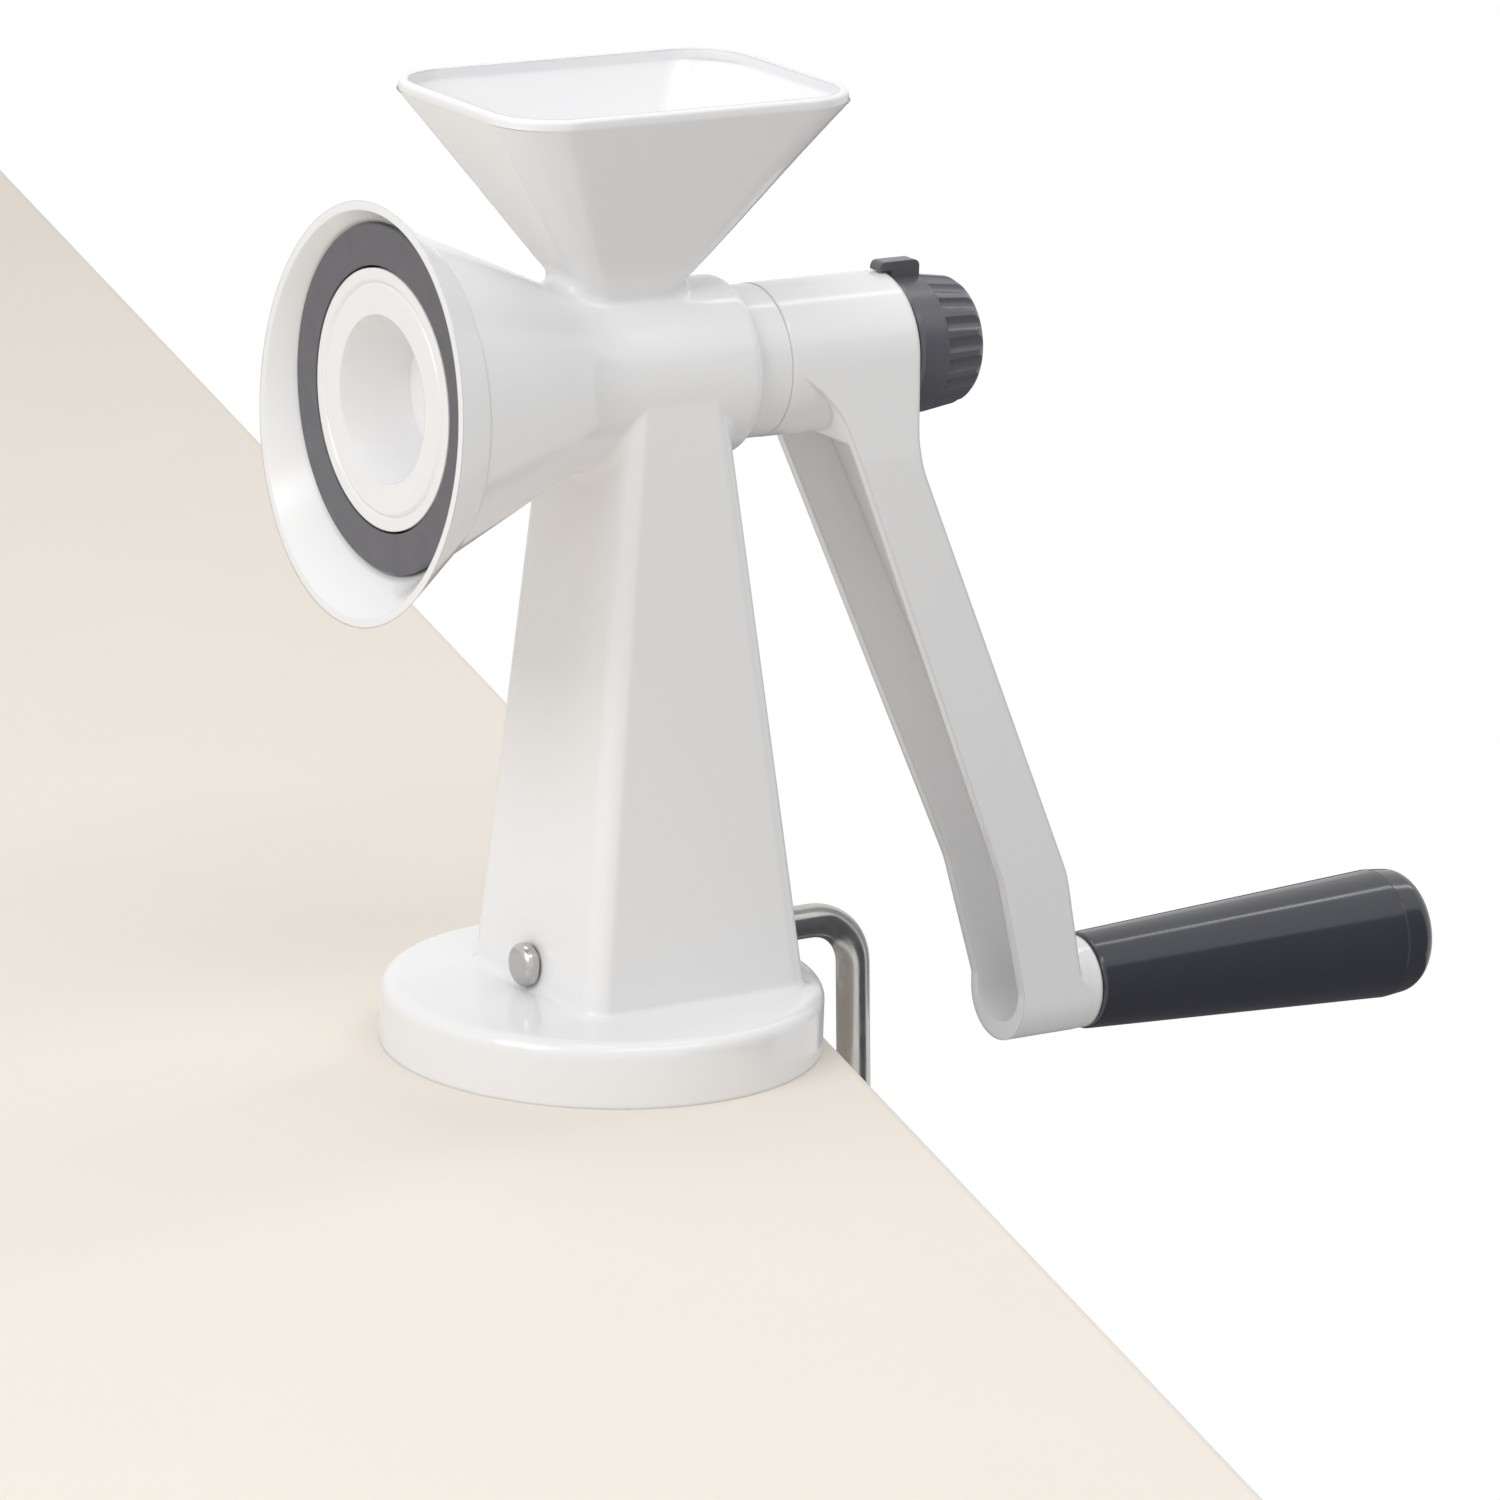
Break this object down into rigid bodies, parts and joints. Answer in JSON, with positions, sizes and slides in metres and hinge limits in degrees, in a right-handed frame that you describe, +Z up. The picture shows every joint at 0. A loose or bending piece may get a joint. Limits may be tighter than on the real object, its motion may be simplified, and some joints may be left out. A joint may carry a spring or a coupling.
{
  "type": "hand grain mill",
  "caption": "Hand-cranked seed and grain mill: funnel on a barrel, flared outlet with a grinding ring, tapered column on a suction foot with a bent lever, and a crank with a turning grip.",
  "frame": {"origin": "centre of the round foot's underside, in the plane of the worktop", "axes": "+Z up, +X along the barrel from the outlet towards the crank, +Y completes the right-handed set; the crank hangs straight down and the suction lever hangs locked at rest"},
  "size_m": [0.3174, 0.108, 0.2616],
  "materials": {
    "white_plastic": "glossy white moulding",
    "dark_plastic": "satin dark grey moulding",
    "black_plastic": "matte black washer",
    "inner_plastic": "plain white working piece",
    "steel": "plain bright steel",
    "polished_steel": "polished nickel-plated rod",
    "rubber": "soft dark rubber"
  },
  "bodies": {
    "body": {"mill_body": "white_plastic", "outlet_shield": "white_plastic", "grinding_ring": "dark_plastic", "rear_bush": "white_plastic", "cup_plate": "inner_plastic", "plate_screws": "steel"},
    "crank": {"crank_arm": "white_plastic", "thrust_washer": "black_plastic", "grip_axle": "steel", "grip_washer": "steel", "knob_washer": "black_plastic"},
    "rotor": {"main_shaft": "steel", "grinding_cone": "white_plastic", "feed_screw": "inner_plastic", "drive_pin": "steel"},
    "knob": {"adjusting_knob": "dark_plastic", "knob_nut": "steel"},
    "handle": {"grip": "dark_plastic", "grip_end_cap": "dark_plastic"},
    "lever": {"suction_lever": "polished_steel", "lever_cam": "inner_plastic", "cam_pin": "steel", "lever_end_cap": "polished_steel"},
    "suction_stem": {"suction_yoke": "inner_plastic", "suction_cup": "rubber"}
  },
  "joints": [
    {"name": "crank_turn", "type": "hinge", "parent": "body", "child": "crank", "pos_m": [0.055, 0, 0.1662], "axis": [1, 0, 0], "continuous": true},
    {"name": "knob_turn", "type": "hinge", "parent": "crank", "child": "knob", "pos_m": [0.08, 0, 0.1662], "axis": [1, 0, 0], "range_deg": [-85, 85]},
    {"name": "rotor_feed", "type": "slide", "parent": "crank", "child": "rotor", "axis": [1, 0, 0], "range_m": [-0.0005, 0.0005]},
    {"name": "grip_spin", "type": "hinge", "parent": "crank", "child": "handle", "pos_m": [0.19, 0, -0.0044], "axis": [1, 0, 0], "continuous": true},
    {"name": "lever_turn", "type": "hinge", "parent": "body", "child": "lever", "pos_m": [0, 0, 0.0223], "axis": [1, 0, 0], "range_deg": [0, 90]},
    {"name": "suction_lift", "type": "slide", "parent": "body", "child": "suction_stem", "axis": [0, 0, 1], "range_m": [-0.0029, 0], "deforming": ["suction_cup"]}
  ],
  "couplings": [
    {"joint": "rotor_feed", "follows": "knob_turn", "m_per_rad": -0.00031831},
    {"joint": "suction_lift", "follows": "lever_turn", "m_per_rad": -0.0018006}
  ]
}
